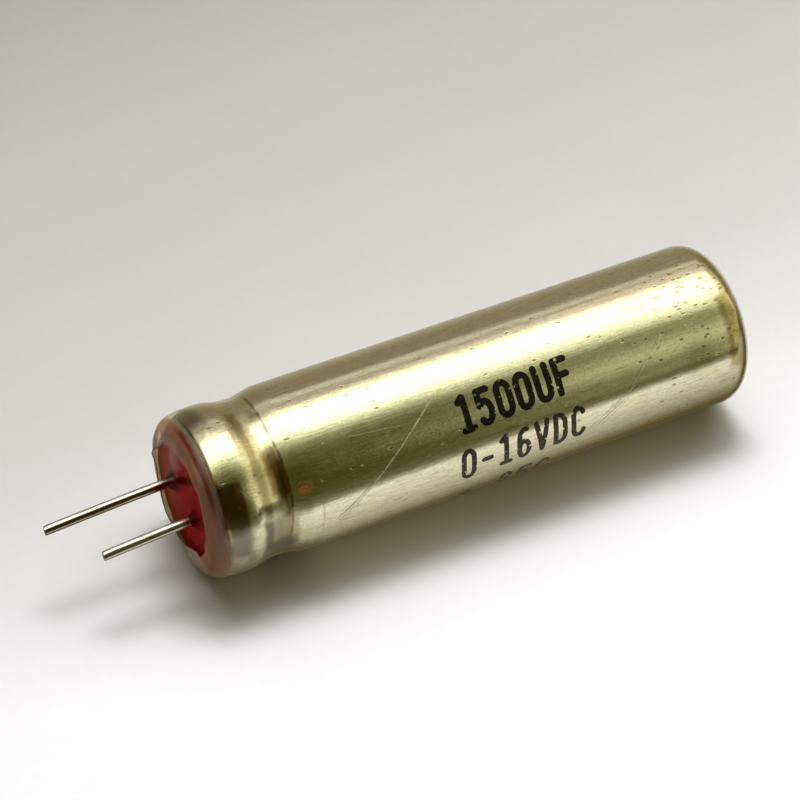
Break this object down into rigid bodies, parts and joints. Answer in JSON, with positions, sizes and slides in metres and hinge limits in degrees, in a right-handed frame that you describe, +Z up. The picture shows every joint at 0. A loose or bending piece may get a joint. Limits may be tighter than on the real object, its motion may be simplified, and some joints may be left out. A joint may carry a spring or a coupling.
{
  "type": "electrolytic capacitor",
  "caption": "Radial-lead aluminium electrolytic capacitor: cylindrical can with a crimped groove, clear yellowed shrink sleeve, red resin end seal and stiff cut wire leads, lying on its side.",
  "frame": {"origin": "middle of the footprint of the part lying on its side: bottom centre of the bounding box", "axes": "+X along the can's axis towards the closed end, the leads point to -X; +Y from the shorter lead to the longer one; +Z up, away from the surface the can lies on"},
  "size_m": [0.069, 0.016, 0.0159],
  "materials": {
    "can_aluminium": "bright drawn, lightly scratched",
    "sleeve_film": "clear shrink film, yellowed, glossy",
    "bung_rubber": "moulded, matte",
    "seal_resin": "poured red resin, glossy",
    "tinned_wire": "tinned, slightly dull, axial draw marks",
    "stud_aluminium": "turned",
    "tab_aluminium": "rolled strip",
    "pressed_fibre": "pressed fibre, matte",
    "etched_foil": "etched, matte grey",
    "plain_foil": "rolled, satin",
    "soaked_paper": "kraft tissue soaked in electrolyte",
    "closing_tape_film": "amber film tape"
  },
  "bodies": {
    "root": {"can": "can_aluminium", "outer_sleeve": "sleeve_film", "rubber_bung": "bung_rubber", "resin_seal": "seal_resin", "lead_wire_positive": "tinned_wire", "lead_wire_negative": "tinned_wire", "terminal_stud_positive": "stud_aluminium", "terminal_stud_negative": "stud_aluminium", "tab_positive": "tab_aluminium", "tab_negative": "tab_aluminium", "upper_insulating_disc": "pressed_fibre", "lower_insulating_disc": "pressed_fibre", "anode_foil": "etched_foil", "cathode_foil": "plain_foil", "separator_paper_inner": "soaked_paper", "separator_paper_outer": "soaked_paper", "paper_wrap": "soaked_paper", "closing_tape": "closing_tape_film"}
  },
  "joints": []
}
